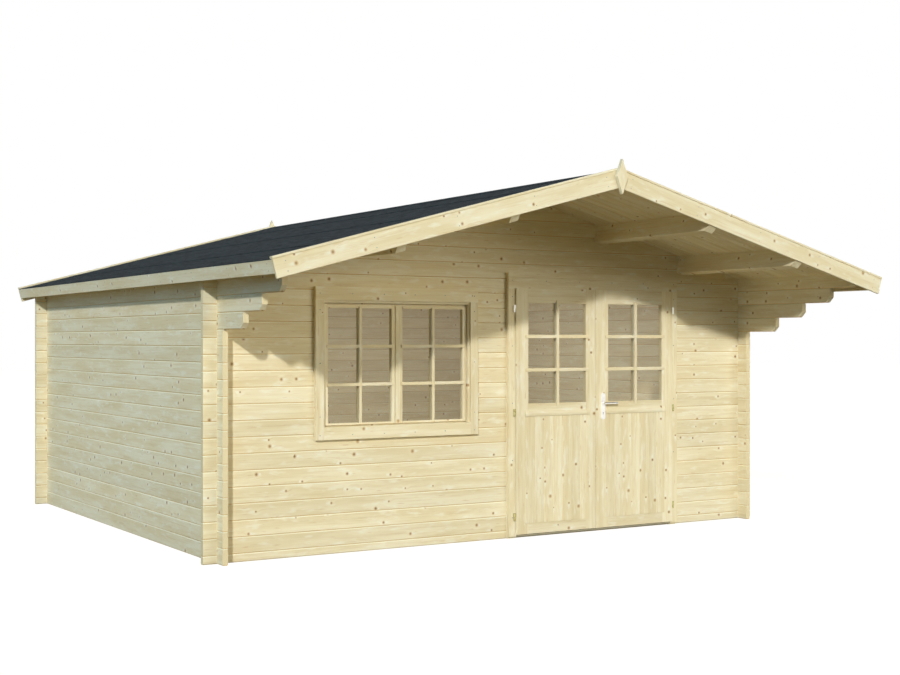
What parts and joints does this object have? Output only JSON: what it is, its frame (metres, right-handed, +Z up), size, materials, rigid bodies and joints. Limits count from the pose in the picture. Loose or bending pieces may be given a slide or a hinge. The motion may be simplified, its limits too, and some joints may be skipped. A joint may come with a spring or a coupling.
{
  "type": "garden log cabin",
  "caption": "Garden log cabin of pale spruce logs with a felted gable roof, a deep front overhang, a barred window and a glazed double door that opens.",
  "frame": {"origin": "on the ground, under the middle of the whole building seen from above", "axes": "+X across the front, to the right seen from the front; +Y from the front to the back; +Z up"},
  "size_m": [5.2102, 5.822, 2.7679],
  "materials": {
    "spruce": "planed, untreated",
    "planed_trim": "planed, untreated",
    "felt": "mineral roofing felt",
    "glass": "clear",
    "zinc": "dull yellow zinc",
    "satin_metal": "satin"
  },
  "bodies": {
    "cabin": {"left_wall": "spruce", "right_wall": "spruce", "back_wall": "spruce", "back_gable": "spruce", "front_wall_lower": "spruce", "front_wall_corner": "spruce", "front_wall_middle": "spruce", "front_wall_over_window": "spruce", "front_wall_right": "spruce", "front_gable": "spruce", "purlins": "spruce", "left_roof_boards": "spruce", "right_roof_boards": "spruce", "left_roof_felt": "felt", "right_roof_felt": "felt", "left_eave_board": "planed_trim", "right_eave_board": "planed_trim", "left_bargeboards": "planed_trim", "right_bargeboards": "planed_trim", "left_barge_caps": "planed_trim", "right_barge_caps": "planed_trim", "finials": "planed_trim", "window_frame": "spruce", "left_window_sash": "planed_trim", "right_window_sash": "planed_trim", "window_glass": "glass", "window_casing": "planed_trim", "window_inner_casing": "spruce", "door_frame": "spruce", "door_threshold": "spruce", "door_casing": "planed_trim", "door_inner_casing": "spruce", "door_frame_hinges": "zinc", "floor_boards": "spruce", "floor_joists": "spruce"},
    "left_door": {"left_door_leaf": "spruce", "left_door_panel": "spruce", "left_door_glass": "glass", "left_door_hinges": "zinc"},
    "right_door": {"right_door_leaf": "spruce", "right_door_panel": "spruce", "right_door_glass": "glass", "right_door_hinges": "zinc", "lock_plates": "satin_metal"},
    "handle": {"door_handle": "satin_metal"}
  },
  "joints": [
    {"name": "left_door_hinge", "type": "hinge", "parent": "cabin", "child": "left_door", "pos_m": [0.0155, -1.5655, 1], "axis": [0, 0, -1], "range_deg": [0, 110]},
    {"name": "right_door_hinge", "type": "hinge", "parent": "cabin", "child": "right_door", "pos_m": [1.5985, -1.5655, 1], "axis": [0, 0, 1], "range_deg": [0, 110]},
    {"name": "door_handle_turn", "type": "hinge", "parent": "right_door", "child": "handle", "pos_m": [0.8635, -1.571, 1.022], "axis": [0, 1, 0], "range_deg": [0, 40], "stiffness_Nm_per_rad": 1}
  ]
}
